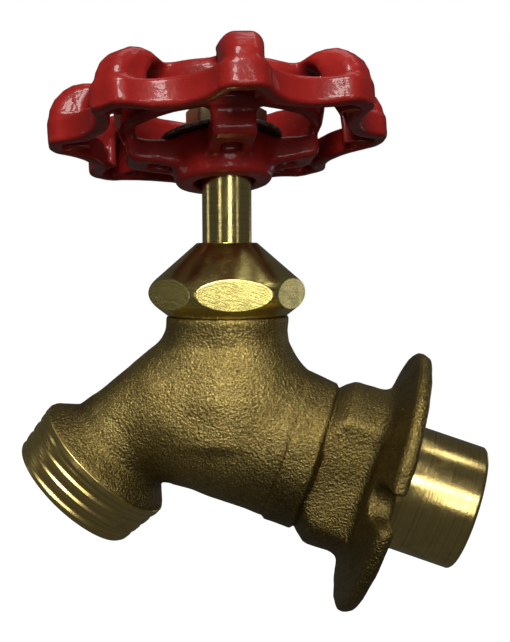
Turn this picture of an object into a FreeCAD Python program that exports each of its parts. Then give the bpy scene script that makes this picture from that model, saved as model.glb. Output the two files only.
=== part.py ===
import FreeCAD, Part
import math
import os

from FreeCAD import Vector as V

os.makedirs("parts", exist_ok=True)

# ---------------------------------------------------------------- driving dimensions, mm
# row frame: origin at the centre of the flange's wall face, +X towards the pipe, +Z up
FLANGE_R = 24.0            # wall flange
FLANGE_RIM_T = 2.8
NOTCH_W = 2.8              # half width of the open screw notches
NOTCH_IN = 5.0             # rim to the centre of a notch's round end
TAIL_R = 11.11             # 7/8 in outside diameter sweat tail
TAIL_LEN = 14.6
CUP_R = 7.975              # 1/2 in nominal copper sweat cup
CUP_DEPTH = 12.7
INLET_BORE_R = 5.5
INLET_BORE_END = -33.0

WRENCH_R = 14.9            # wrench section with two flats
WRENCH_FLAT = 11.5
WRENCH_X0, WRENCH_X1 = -14.4, -5.2
COLLAR_R = 13.7            # round collar between two narrow grooves
COLLAR_X0, COLLAR_X1 = -19.4, -14.8
BARREL_R = 12.7

STEM_TILT = 18.6           # stem axis, degrees from vertical, leaning off the wall
STEM_X = -30.2             # where the stem axis meets the inlet axis
NECK_TOP_T = 19.95         # cast shoulder under the packing nut
NECK_TOP_R = 10.9
NECK_WAIST_R = 10.6
SPIGOT_R = 9.40            # externally threaded spigot inside the nut
SPIGOT_TOP_T = 28.6
SEAT_TOP_T = 7.0
SEAT_R = 5.4
SEAT_HOLE_R = 4.0
CHAMBER_R = 7.2
CHAMBER_FLOOR_T = 5.5
CHAMBER_TOP_T = 13.5
STEM_THREAD_BORE_R = 6.45
STUFFING_R = 7.40
STUFFING_FLOOR_T = 24.0

OUTLET_TILT = 25.2         # outlet axis, degrees from straight down, away from the wall
OUTLET_X = -43.4
OUTLET_COLLAR_S = 14.4
OUTLET_COLLAR_R = 13.7
OUTLET_THROAT_R = 9.5
HOSE_R = 13.49             # 3/4 - 11.5 garden hose thread, major radius
HOSE_PITCH = 2.209
HOSE_LEN = 8.1
HOSE_DEPTH = 1.25
HOSE_START_S = 14.9
OUTLET_BORE_R = 8.6

NUT_AF = 24.6              # packing nut
NUT_TURN = 11.4           # degrees its front flat is turned towards the wall
NUT_H = 12.7
NUT_TURNED_R = 13.95
NUT_TOP_R = 5.3
NUT_CONE = 41.0
NUT_THREAD_R = 9.46

STEM_R = 4.35
STEM_THREAD_R = 6.40
STEM_PITCH = 2.0
STEM_TURNS = 3
STEM_SQUARE = 6.7
STEM_TIP_R = 3.17          # 1/4 in thread for the handle nut
STEM_END_T = 57.3

WHEEL_R = 30.0             # over the lobe tips
WHEEL_T0 = 49.45           # rim's lower plane, along the stem axis
WHEEL_OFF_LEFT = 0.90
WHEEL_OFF_BACK = 0.80
WHEEL_TIP_BACK = 11.0      # the wheel sits cocked on its stem, degrees
WHEEL_TIP_LEFT = 4.6
WHEEL_LOBE0 = 13.6         # first lobe, degrees from -Y towards the wall
LOBES = 8
SPOKES = 4
LOBE_H = 11.0
LOBE_W = 6.9
BAND_H = 5.0
BAND_RO, BAND_RI = 25.2, 22.6
RING_RO, RING_RI = 18.5, 15.5
RING_Z0, RING_Z1 = 1.9, 9.8
HUB_R = 8.45
HUB_Z0, HUB_Z1 = -6.6, 1.4
HUB_RECESS_Z = -2.7
HUB_RECESS_R = 5.5
SHELL = 2.3
SPOKE_W = 7.3
DISC_R = 10.8
DISC_T = 0.8
HANDLE_NUT_AF = 12.7
HANDLE_NUT_TOP_T = 56.0


# ---------------------------------------------------------------- helpers
def unit(v):
    v = V(v)
    v.normalize()
    return v


def cyl(r, p, d, a, b):
    """Cylinder of radius r about the line p + d*t, from t=a to t=b."""
    d = unit(d)
    return Part.makeCylinder(r, b - a, p + d * a, d)


def cone(r0, r1, p, d, a, b):
    d = unit(d)
    return Part.makeCone(r0, r1, b - a, p + d * a, d)


def turned(profile, p, d):
    """Solid of revolution: profile is [(t, r), ...] along the line p + d*t, closed to the axis."""
    d = unit(d)
    side = d.cross(V(0, 1, 0))
    if side.Length < 0.1:
        side = d.cross(V(1, 0, 0))
    side = unit(side)
    pts = [p + d * t + side * r for t, r in profile]
    pts = [p + d * profile[0][0]] + [q for q, (t, r) in zip(pts, profile) if r > 1e-9] + [p + d * profile[-1][0]]
    pts.append(pts[0])
    face = Part.Face(Part.makePolygon(pts))
    return face.revolve(p, d, 360)


def ring(r_in, r_out, p, d, a, b):
    return cyl(r_out, p, d, a, b).cut(cyl(r_in, p, d, a - 1, b + 1))


def hexagon(af, p, d, toward, a, b, sides=6):
    """Prism with its first flat's normal along toward."""
    d = unit(d)
    n = V(toward)
    n = unit(n - d * n.dot(d))
    m = d.cross(n)
    rc = af / 2 / math.cos(math.pi / sides)
    pts = []
    for i in range(sides):
        ang = math.pi / sides + 2 * math.pi * i / sides
        pts.append(p + d * a + n * (rc * math.cos(ang)) + m * (rc * math.sin(ang)))
    pts.append(pts[0])
    return Part.Face(Part.makePolygon(pts)).extrude(d * (b - a))


def box_in(p, ex, ey, ez, x0, x1, y0, y1, z0, z1):
    """Box in a local frame of three unit vectors."""
    c = [
        p + ex * x0 + ey * y0 + ez * z0,
        p + ex * x1 + ey * y0 + ez * z0,
        p + ex * x1 + ey * y1 + ez * z0,
        p + ex * x0 + ey * y1 + ez * z0,
    ]
    return Part.Face(Part.makePolygon(c + [c[0]])).extrude(ez * (z1 - z0))


def save(name, shape):
    shape = shape.removeSplitter() if name not in NO_REFINE else shape
    solids = shape.Solids
    assert shape.isValid(), name
    out = solids[0] if len(solids) == 1 else Part.makeCompound(solids)
    out.exportStep("parts/%s.step" % name)
    print("%-16s solids %d  volume %.1f mm3" % (name, len(solids), out.Volume))
    return out


NO_REFINE = set()

# ---------------------------------------------------------------- axes
O = V(0, 0, 0)
X = V(1, 0, 0)
Y = V(0, 1, 0)
a = math.radians(STEM_TILT)
S0 = V(STEM_X, 0, 0)
S = V(-math.sin(a), 0, math.cos(a))            # stem axis, up
SR = V(math.cos(a), 0, math.sin(a))            # square to it, towards the wall
b = math.radians(OUTLET_TILT)
G0 = V(OUTLET_X, 0, 0)
G = V(-math.sin(b), 0, -math.cos(b))           # outlet axis, down

# handwheel's own axes
W = unit(S + Y * math.tan(math.radians(WHEEL_TIP_BACK)) - SR * math.tan(math.radians(WHEEL_TIP_LEFT)))
E1 = unit(SR - W * SR.dot(W))                  # towards the wall
E0 = W.cross(E1)
if E0.dot(Y) > 0:
    E0 = E0 * -1                               # towards -Y
W0 = S0 + S * WHEEL_T0 - SR * WHEEL_OFF_LEFT + Y * WHEEL_OFF_BACK


# ---------------------------------------------------------------- body casting
def make_body():
    # barrel, collar, grooves, wrench section and flange, turned about the inlet axis
    n = 8
    dish = []
    for i in range(n + 1):                      # hollow sweep from the wrench section out to the rim
        u = i / n
        dish.append((-5.2 + (5.2 - FLANGE_RIM_T) * math.sin(u * math.pi / 2) ** 1.3,
                     WRENCH_R + (FLANGE_R - 1.2 - WRENCH_R) * (1 - math.cos(u * math.pi / 2))))
    prof = [(-36.0, BARREL_R), (COLLAR_X0 - 0.45, BARREL_R), (COLLAR_X0 - 0.2, BARREL_R - 0.35), (COLLAR_X0, COLLAR_R - 0.5),
            (COLLAR_X0 + 0.5, COLLAR_R), (COLLAR_X1 - 0.1, COLLAR_R), (COLLAR_X1 + 0.15, COLLAR_R - 0.6),
            (WRENCH_X0, WRENCH_R - 0.6), (WRENCH_X0 + 0.6, WRENCH_R)] + dish
    prof += [(-FLANGE_RIM_T + 0.4, FLANGE_R - 0.35), (-FLANGE_RIM_T / 2, FLANGE_R), (-0.5, FLANGE_R - 0.35), (0, FLANGE_R - 1.0)]
    shell = turned(prof, O, X)
    for side in (-1, 1):
        shell = shell.cut(Part.makeBox(WRENCH_X1 - WRENCH_X0 + 0.6, 6, 40, V(WRENCH_X0 - 0.1, WRENCH_FLAT if side > 0 else -WRENCH_FLAT - 6, -20)))
    for side in (-1, 1):                        # open notches for the wall screws
        ang = 0.0
        d = V(0, side * math.cos(ang), -math.sin(ang))
        m = d.cross(X)
        notch = box_in(O, d, m, X, FLANGE_R - NOTCH_IN, FLANGE_R + 4, -NOTCH_W, NOTCH_W, -8, 2)
        notch = notch.fuse(cyl(NOTCH_W, d * (FLANGE_R - NOTCH_IN), X, -8, 2))
        shell = shell.cut(notch)
    tail = turned([(-1.0, TAIL_R), (TAIL_LEN - 0.5, TAIL_R), (TAIL_LEN, TAIL_R - 0.5)], O, X)
    # far end of the barrel and the neck
    nose = Part.makeSphere(BARREL_R, V(-36.0, 0, 0))
    neck = turned([(0.0, 13.2), (6.0, 13.0), (10.0, 12.4), (13.0, 11.5), (15.5, NECK_WAIST_R), (NECK_TOP_T - 1.6, NECK_TOP_R - 0.1),
                   (NECK_TOP_T - 0.4, NECK_TOP_R), (NECK_TOP_T, NECK_TOP_R - 0.35)], S0, S)
    # sloping web from the neck down to the spout
    def circle(c, d, r):
        return Part.Wire([Part.makeCircle(r, c, d)])
    spout = Part.makeLoft([circle(S0 + S * 14.5, S * -1, NECK_WAIST_R + 0.1), circle(V(-41.0, 0, 3.4), V(-0.60, 0, -0.80), 11.3),
                           circle(G0 + G * 7.5, G, 10.0), circle(G0 + G * 11.0, G, OUTLET_THROAT_R)], True, False)
    gusset = Part.makeLoft([circle(S0 + S * 12.5 + SR * -0.3, V(-0.2, 0, -1), 11.6), circle(V(-34.0, 0, 0), V(-1, 0, -0.2), 12.6)], True, True)
    mouth = turned([(9.5, OUTLET_THROAT_R), (11.0, OUTLET_THROAT_R), (12.0, 10.2), (13.0, 11.8), (13.7, 13.1), (OUTLET_COLLAR_S - 0.2, OUTLET_COLLAR_R),
                    (HOSE_START_S - 0.2, OUTLET_COLLAR_R), (HOSE_START_S, OUTLET_COLLAR_R - 0.2)], G0, G)
    # hose thread: rings of the thread's own form and pitch on its major diameter
    e = HOSE_START_S + HOSE_LEN
    hp = [(HOSE_START_S - 0.5, HOSE_R - HOSE_DEPTH)]
    k = 0
    t = HOSE_START_S + 0.9
    while t + 0.35 < e - 0.5:
        hp += [(t, HOSE_R - HOSE_DEPTH), (t + 0.72, HOSE_R), (t + 1.12, HOSE_R), (t + 1.84, HOSE_R - HOSE_DEPTH)]
        t += HOSE_PITCH
        k += 1
    hp = [q for q in hp if q[0] < e - 0.3]
    hp += [(e, HOSE_R - HOSE_DEPTH - 0.2)]
    thread = turned(hp, G0, G)
    spigot = turned([(NECK_TOP_T - 1, SPIGOT_R), (SPIGOT_TOP_T - 0.4, SPIGOT_R), (SPIGOT_TOP_T, SPIGOT_R - 0.4)], S0, S)
    body = shell
    for piece in (tail, nose, neck, spout, gusset, mouth, thread, spigot):
        body = body.fuse(piece)
    # waterway
    cuts = [
        cyl(CUP_R, O, X, TAIL_LEN - CUP_DEPTH, TAIL_LEN + 2),
        cyl(INLET_BORE_R, O, X, INLET_BORE_END, TAIL_LEN),
        cyl(SEAT_HOLE_R, S0, S, 0, SEAT_TOP_T + 1),
        ring(SEAT_R, CHAMBER_R, S0, S, CHAMBER_FLOOR_T, SEAT_TOP_T + 0.01),
        cyl(CHAMBER_R, S0, S, SEAT_TOP_T, CHAMBER_TOP_T),
        cyl(STEM_THREAD_BORE_R, S0, S, CHAMBER_TOP_T - 0.5, STUFFING_FLOOR_T + 1),
        cyl(STUFFING_R, S0, S, STUFFING_FLOOR_T, SPIGOT_TOP_T + 2),
        cyl(OUTLET_BORE_R, G0, G, 6.0, HOSE_START_S + HOSE_LEN + 2),
        Part.makeSphere(OUTLET_BORE_R - 0.6, G0 + G * 6.4),
    ]
    link_a, link_b = V(-41.5, 0, 8.2), V(-45.0, 0, -4.5)
    cuts.append(cyl(4.2, link_a, link_b - link_a, 0, (link_b - link_a).Length))
    for c in cuts:
        body = body.cut(c)
    return body


def make_packing_nut():
    t0, t1 = NECK_TOP_T + 0.05, NECK_TOP_T + 0.05 + NUT_H
    h = math.tan(math.radians(NUT_CONE))
    drop = (NUT_TURNED_R - NUT_TOP_R) * h
    outer = turned([(t0, 10.7), (t0 + (NUT_TURNED_R - 10.7) * math.tan(math.radians(40)), NUT_TURNED_R), (t1 - drop, NUT_TURNED_R), (t1, NUT_TOP_R)], S0, S)
    turn = math.radians(NUT_TURN)
    toward = Y * -math.cos(turn) + SR * math.sin(turn)
    nut = outer.common(hexagon(NUT_AF, S0, S, toward, t0 - 1, t1 + 1))
    nut = nut.cut(cyl(NUT_THREAD_R, S0, S, t0 - 1, 29.0))
    nut = nut.cut(cyl(STUFFING_R + 0.1, S0, S, 28.9, 30.2))
    nut = nut.cut(cyl(STEM_R + 0.15, S0, S, 30.0, t1 + 1))
    return nut


def make_stem():
    pieces = [
        cyl(5.5, S0, S, 9.80, 11.6),
        cyl(STEM_THREAD_R, S0, S, 11.5, 17.5),
        cyl(STEM_R, S0, S, 17.0, 46.2),
        hexagon(STEM_SQUARE, S0, S, SR, 46.0, 51.2, 4).common(cyl(STEM_R, S0, S, 45.5, 52)),
        turned([(51.0, STEM_TIP_R), (STEM_END_T - 0.6, STEM_TIP_R), (STEM_END_T, STEM_TIP_R - 0.6)], S0, S),
    ]
    stem = pieces[0]
    for p in pieces[1:]:
        stem = stem.fuse(p)
    return stem.cut(cyl(2.05, S0, S, 9.0, 16.5))


def make_seat_screw():
    screw = turned([(5.5, 2.6), (6.0, 3.2), (6.95, 3.2)], S0, S).fuse(cyl(2.0, S0, S, 6.9, 16.2))
    slot = box_in(S0, SR, Y, S, -4, 4, -0.4, 0.4, 5.0, 6.2)
    return screw.cut(slot)


# ---------------------------------------------------------------- handwheel
def polar(ang):
    r = math.radians(WHEEL_LOBE0 + ang)
    return unit(E0 * math.cos(r) + E1 * math.sin(r)), unit(E1 * math.cos(r) - E0 * math.sin(r))


def lobe_face(inset):
    """D-shaped side of one lobe as [(r, z)], or of the hollow inside it. The lobe bridges the slot between ring and band at its top."""
    if inset == 0.0:
        return [(RING_RO - 1.5, RING_Z1 - 1.7), (RING_RO - 1.5, RING_Z1 - 0.2), (RING_RO + 0.2, RING_Z1 + 0.1), (20.2, LOBE_H - 0.6), (21.8, LOBE_H - 0.1),
                (23.6, LOBE_H), (25.4, LOBE_H - 0.3), (27.6, LOBE_H - 1.6), (29.2, LOBE_H - 4.0), (WHEEL_R, LOBE_H - 6.8), (WHEEL_R, 0.6),
                (WHEEL_R - 0.6, 0.0), (BAND_RI, 0.0), (BAND_RI, 6.3), (21.6, 7.9), (20.4, 8.3)]
    return [(21.0, -1.0), (21.0, 6.4), (22.6, 7.9), (24.0, 8.6), (25.6, 8.2), (27.2, 6.0), (27.7, 3.6), (27.7, -1.0)]


def make_wheel():
    band = ring(BAND_RI, BAND_RO, W0, W, 0, BAND_H)
    inner = ring(RING_RI, RING_RO, W0, W, RING_Z0, RING_Z1)
    wheel = band.fuse(inner)
    hollows = []
    for i in range(LOBES):
        er, et = polar(360.0 * i / LOBES)
        for inset, half in ((0.0, LOBE_W / 2), (SHELL, LOBE_W / 2 - SHELL + 0.4)):
            pts = [W0 + er * r + W * z - et * half for r, z in lobe_face(inset)]
            solid = Part.Face(Part.makePolygon(pts + [pts[0]])).extrude(et * (2 * half))
            if inset == 0.0:
                wheel = wheel.fuse(solid)
            else:
                hollows.append(solid)
    for h in hollows:
        wheel = wheel.cut(h)
    hub = turned([(HUB_Z0, HUB_R - 0.8), (HUB_Z0 + 0.8, HUB_R), (HUB_Z1 - 0.5, HUB_R), (HUB_Z1, HUB_R - 0.5)], W0, W)
    for i in range(SPOKES):
        er, et = polar(360.0 * i / SPOKES)
        def bar(pts, half):
            poly = [W0 + er * r + W * z - et * half for r, z in pts]
            return Part.Face(Part.makePolygon(poly + [poly[0]])).extrude(et * (2 * half))
        hub = hub.fuse(bar([(HUB_R - 1.5, -3.9), (HUB_R - 1.5, 0.8), (RING_RI - 0.6, 0.8), (RING_RI + 0.3, 3.0), (RING_RI + 1.0, 3.0), (RING_RI + 1.0, -1.9), (RING_RI, -2.9)], SPOKE_W / 2))
        hub = hub.cut(bar([(HUB_R + 0.5, -5.0), (HUB_R + 0.5, -1.9), (12.2, -1.7), (13.6, -5.0)], SPOKE_W / 2 - 1.8))
    wheel = wheel.fuse(hub)
    wheel = wheel.cut(cyl(HUB_RECESS_R, W0, W, HUB_Z0 - 1, HUB_RECESS_Z))
    wheel = wheel.cut(cyl(STEM_R + 0.06, S0, S, 40.0, 46.3))
    wheel = wheel.cut(hexagon(STEM_SQUARE + 0.12, S0, S, SR, 46.0, 56.0, 4).common(cyl(STEM_R + 0.06, S0, S, 45.5, 56.0)))
    return wheel


def make_disc():
    return cyl(DISC_R, W0, W, HUB_Z1, HUB_Z1 + DISC_T).cut(cyl(STEM_R + 0.1, S0, S, 40, 60))


def make_handle_nut():
    turn = math.radians(-8.0 + 4.5)
    toward = Y * -math.cos(turn) + SR * math.sin(turn)
    nut = hexagon(HANDLE_NUT_AF, S0, S, toward, 48.0, HANDLE_NUT_TOP_T)
    nut = nut.common(turned([(48.0, 7.3), (HANDLE_NUT_TOP_T - 0.55, 7.3), (HANDLE_NUT_TOP_T, 6.35)], S0, S))
    nut = nut.cut(cyl(40, W0, W, -20, HUB_Z1 + DISC_T))
    return nut.cut(cyl(STEM_TIP_R + 0.05, S0, S, 40, 60)).cut(cyl(STEM_R + 0.1, S0, S, 40, 51.35))


save("body", make_body())
save("packing_nut", make_packing_nut())
save("packing_washer", ring(STEM_R + 0.15, STUFFING_R - 0.08, S0, S, STUFFING_FLOOR_T + 0.02, STUFFING_FLOOR_T + 0.98))
save("packing_ring", ring(STEM_R + 0.05, STUFFING_R - 0.05, S0, S, STUFFING_FLOOR_T + 1.0, 28.2))
save("gland_ring", ring(STEM_R + 0.15, STUFFING_R - 0.08, S0, S, 28.22, 30.18))
save("stem", make_stem())
save("seat_washer", ring(2.15, 5.35, S0, S, SEAT_TOP_T + 0.02, 9.76))
save("seat_screw", make_seat_screw())
save("handwheel", make_wheel())
save("id_disc", make_disc())
save("handle_nut", make_handle_nut())
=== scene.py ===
import bpy
import math
import numpy as np
from mathutils import Vector, Matrix


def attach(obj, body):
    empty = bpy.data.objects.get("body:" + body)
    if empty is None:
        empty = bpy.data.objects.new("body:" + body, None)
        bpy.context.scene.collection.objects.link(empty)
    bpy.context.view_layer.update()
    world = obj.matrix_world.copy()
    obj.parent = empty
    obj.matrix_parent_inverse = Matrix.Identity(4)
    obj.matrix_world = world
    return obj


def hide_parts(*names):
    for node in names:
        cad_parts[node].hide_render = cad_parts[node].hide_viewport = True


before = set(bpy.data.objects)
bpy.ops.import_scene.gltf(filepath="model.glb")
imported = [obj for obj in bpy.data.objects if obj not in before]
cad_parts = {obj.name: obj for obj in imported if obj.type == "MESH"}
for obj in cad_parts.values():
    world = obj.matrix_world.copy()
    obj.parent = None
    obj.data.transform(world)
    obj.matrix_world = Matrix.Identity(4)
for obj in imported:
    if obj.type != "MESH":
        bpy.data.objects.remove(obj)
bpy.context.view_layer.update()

MM = 0.001

# ------------------------------------------------------------------ axes of the frame, mm
def unit(v):
    v = np.array(v, float)
    return v / np.linalg.norm(v)


EX, EY, EZ = np.eye(3)
a = math.radians(18.6)
S0 = np.array([-30.2, 0.0, 0.0])
S = np.array([-math.sin(a), 0.0, math.cos(a)])          # stem axis
SR = np.array([math.cos(a), 0.0, math.sin(a)])
b = math.radians(25.2)
G0 = np.array([-43.4, 0.0, 0.0])
G = np.array([-math.sin(b), 0.0, -math.cos(b)])         # outlet axis
GR = np.array([math.cos(b), 0.0, -math.sin(b)])
W = unit(S + EY * math.tan(math.radians(11.0)) - SR * math.tan(math.radians(4.6)))
E1 = unit(SR - W * SR.dot(W))
E0 = np.cross(W, E1)
if E0.dot(EY) > 0:
    E0 = -E0
W0 = S0 + S * 49.45 - SR * 0.90 + EY * 0.80
_l = math.radians(13.6)
L0 = E0 * math.cos(_l) + E1 * math.sin(_l)              # towards the first lobe
L1 = E1 * math.cos(_l) - E0 * math.sin(_l)


# ------------------------------------------------------------------ distance fields
def smin(p, q, k):
    h = np.clip(0.5 + 0.5 * (q - p) / k, 0.0, 1.0)
    return q + (p - q) * h - k * h * (1.0 - h)


def smax(p, q, k):
    return -smin(-p, -q, k)


class Profile:
    """Signed distance to a closed (t, r) polygon, from a table, for turned and extruded shapes."""

    def __init__(self, pts, h=0.1, pad=5.0):
        p = np.array(pts, float)
        self.lo = p.min(0) - pad
        self.h = h
        n = np.ceil((p.max(0) + pad - self.lo) / h).astype(int) + 1
        t, r = np.meshgrid(self.lo[0] + np.arange(n[0]) * h, self.lo[1] + np.arange(n[1]) * h, indexing="ij")
        d2 = np.full(t.shape, 1e9)
        inside = np.zeros(t.shape, bool)
        for i in range(len(p)):
            u, v = p[i], p[(i + 1) % len(p)]
            e = v - u
            if e @ e < 1e-12:
                continue
            s = np.clip(((t - u[0]) * e[0] + (r - u[1]) * e[1]) / (e @ e), 0, 1)
            d2 = np.minimum(d2, (t - u[0] - s * e[0]) ** 2 + (r - u[1] - s * e[1]) ** 2)
            if e[1] != 0:
                c = (u[1] > r) != (v[1] > r)
                inside ^= c & (t < e[0] * (r - u[1]) / e[1] + u[0])
        self.g = np.sqrt(d2) * np.where(inside, -1.0, 1.0)

    def __call__(self, t, r):
        n = self.g.shape
        ft, fr = (t - self.lo[0]) / self.h, (r - self.lo[1]) / self.h
        ct, cr = np.clip(ft, 0, n[0] - 1.001), np.clip(fr, 0, n[1] - 1.001)
        it, ir = ct.astype(np.int32), cr.astype(np.int32)
        wt, wr = ct - it, cr - ir
        g = self.g
        out = ((g[it, ir] * (1 - wt) + g[it + 1, ir] * wt) * (1 - wr) + (g[it, ir + 1] * (1 - wt) + g[it + 1, ir + 1] * wt) * wr)
        return out + self.h * np.sqrt((ft - ct) ** 2 + (fr - cr) ** 2)


def turned(pts, **k):
    """Profile of a solid of revolution: closed well below the axis, so the axis is never a wall."""
    return Profile([(pts[0][0], -8.0)] + list(pts) + [(pts[-1][0], -8.0)], **k)


def waves(p, seed, size, n=7):
    """Smooth noise of about unit height and the given wavelength."""
    rng = np.random.RandomState(seed)
    out = np.zeros(len(p))
    for _ in range(n):
        d = rng.normal(size=3)
        d *= rng.uniform(0.7, 1.5) * 2 * math.pi / size / np.linalg.norm(d)
        out += np.sin(p @ d + rng.uniform(0, 6.28))
    return out / math.sqrt(n)


def axial(p, o, d):
    q = p - o
    t = q @ d
    return t, np.sqrt(np.maximum((q * q).sum(1) - t * t, 0.0))


def round_cone(p, u, v, r1, r2):
    e = v - u
    l2 = e @ e
    rr = r1 - r2
    a2 = l2 - rr * rr
    q = p - u
    y = q @ e
    z = y - l2
    w = q * l2 - np.outer(y, e)
    x2 = (w * w).sum(1)
    y2, z2 = y * y * l2, z * z * l2
    k = np.sign(rr) * rr * rr * x2
    return np.where(np.sign(z) * a2 * z2 > k, np.sqrt(x2 + z2) / l2 - r2,
                    np.where(np.sign(y) * a2 * y2 < k, np.sqrt(x2 + y2) / l2 - r1, (np.sqrt(x2 * a2 / l2) + y * rr) / l2 - r1))


# ------------------------------------------------------------------ field to mesh
def surface_nets(fun, lo, hi, h, newton=2):
    B = 4
    lo, hi = np.array(lo, float), np.array(hi, float)
    nb = np.ceil((hi - lo) / (h * B)).astype(int)
    c = np.stack(np.meshgrid(*[lo[i] + (np.arange(nb[i]) + 0.5) * h * B for i in range(3)], indexing="ij"), -1).reshape(-1, 3)
    fc = fun(c)
    near = np.abs(fc) < h * B * 1.15
    n = nb * B + 1
    f = np.repeat(np.repeat(np.repeat(np.where(fc < 0, -9.0, 9.0).reshape(nb), B, 0), B, 1), B, 2)
    f = np.pad(f, ((0, 1),) * 3, mode="edge").astype(np.float32)
    blocks = np.stack(np.unravel_index(np.nonzero(near)[0], nb), -1) * B
    off = np.stack(np.meshgrid(*[np.arange(B + 1)] * 3, indexing="ij"), -1).reshape(-1, 3)
    idx = (blocks[:, None, :] + off[None]).reshape(-1, 3)
    flat = np.unique(np.ravel_multi_index(idx.T, n))
    ijk = np.stack(np.unravel_index(flat, n), -1)
    vals = np.empty(len(flat), np.float32)
    for s in range(0, len(flat), 400000):
        vals[s:s + 400000] = fun(lo + ijk[s:s + 400000] * h)
    f.reshape(-1)[flat] = vals
    s = f < 0
    s8 = s.astype(np.int8)
    cnt = sum(s8[i:n[0] - 1 + i, j:n[1] - 1 + j, k:n[2] - 1 + k] for i in (0, 1) for j in (0, 1) for k in (0, 1))
    act = (cnt > 0) & (cnt < 8)
    cells = np.argwhere(act)
    vid = np.full(act.shape, -1, np.int64)
    vid[act] = np.arange(len(cells))
    acc, w = np.zeros((len(cells), 3)), np.zeros(len(cells))
    corner = {}
    for i in (0, 1):
        for j in (0, 1):
            for k in (0, 1):
                corner[(i, j, k)] = f[cells[:, 0] + i, cells[:, 1] + j, cells[:, 2] + k].astype(float)
    for ax in range(3):
        for u in (0, 1):
            for v in (0, 1):
                p0 = [u, v]
                p0.insert(ax, 0)
                p1 = list(p0)
                p1[ax] = 1
                f0, f1 = corner[tuple(p0)], corner[tuple(p1)]
                m = (f0 < 0) != (f1 < 0)
                t = np.where(m, f0 / np.where(m, f0 - f1, 1.0), 0.0)
                q = np.tile(np.array(p0, float), (len(cells), 1))
                q[:, ax] = t
                acc[m] += q[m]
                w[m] += 1
    verts = lo + (cells + acc / w[:, None]) * h
    faces = []
    for ax in range(3):
        u, v = (ax + 1) % 3, (ax + 2) % 3
        sl0 = [slice(1, n[i] - 1) for i in range(3)]
        sl1 = list(sl0)
        sl0[ax], sl1[ax] = slice(0, n[ax] - 1), slice(1, n[ax])
        e = np.argwhere(s[tuple(sl0)] != s[tuple(sl1)])
        e = e + np.array([0 if i == ax else 1 for i in range(3)])
        du, dv = np.eye(3, dtype=int)[u], np.eye(3, dtype=int)[v]
        q = np.stack([vid[tuple((e - du - dv).T)], vid[tuple((e - dv).T)], vid[tuple(e.T)], vid[tuple((e - du).T)]], -1)
        flip = ~s[tuple(e.T)]
        q[flip] = q[flip][:, ::-1]
        faces.append(q)
    faces = np.concatenate(faces)
    faces = faces[(faces >= 0).all(1)]
    for _ in range(newton):
        eps = h * 0.35
        f0 = fun(verts)
        g = np.stack([fun(verts + eps * np.eye(3)[i]) - fun(verts - eps * np.eye(3)[i]) for i in range(3)], -1) / (2 * eps)
        g2 = np.maximum((g * g).sum(1), 0.2)
        step = g * (f0 / g2)[:, None]
        ln = np.linalg.norm(step, axis=1)
        step *= np.minimum(1.0, 0.6 * h / np.maximum(ln, 1e-9))[:, None]
        verts = verts - step
    return verts, faces


def relax(verts, faces, times=2, keep=0.5):
    e = np.concatenate([faces[:, [0, 1]], faces[:, [1, 2]], faces[:, [2, 3]], faces[:, [3, 0]]])
    e = np.concatenate([e, e[:, ::-1]])
    for _ in range(times):
        s = np.zeros_like(verts)
        np.add.at(s, e[:, 0], verts[e[:, 1]])
        c = np.bincount(e[:, 0], minlength=len(verts))
        verts = verts * keep + (s / np.maximum(c, 1)[:, None]) * (1 - keep)
    return verts


def make_object(name, verts_mm, faces, smooth=True):
    me = bpy.data.meshes.new(name)
    v = np.asarray(verts_mm, float) * MM
    me.vertices.add(len(v))
    me.vertices.foreach_set("co", v.astype(np.float32).ravel())
    if isinstance(faces, np.ndarray):
        k = faces.shape[1]
        me.loops.add(faces.size)
        me.loops.foreach_set("vertex_index", faces.astype(np.int32).ravel())
        me.polygons.add(len(faces))
        me.polygons.foreach_set("loop_start", (np.arange(len(faces)) * k).astype(np.int32))
        me.polygons.foreach_set("loop_total", np.full(len(faces), k, np.int32))
    else:
        loops = [i for f in faces for i in f]
        me.loops.add(len(loops))
        me.loops.foreach_set("vertex_index", np.array(loops, np.int32))
        me.polygons.add(len(faces))
        tot = np.array([len(f) for f in faces], np.int32)
        me.polygons.foreach_set("loop_start", np.concatenate([[0], np.cumsum(tot)[:-1]]).astype(np.int32))
        me.polygons.foreach_set("loop_total", tot)
    me.update(calc_edges=True)
    me.validate()
    me.polygons.foreach_set("use_smooth", np.full(len(me.polygons), smooth, bool))
    me.update()
    o = bpy.data.objects.new(name, me)
    bpy.context.scene.collection.objects.link(o)
    return o


def local(p, o, ex, ey, ez):
    """Local (x, y, z) points to row-frame points, mm."""
    p = np.asarray(p, float)
    return o + p[:, :1] * ex + p[:, 1:2] * ey + p[:, 2:3] * ez


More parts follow.
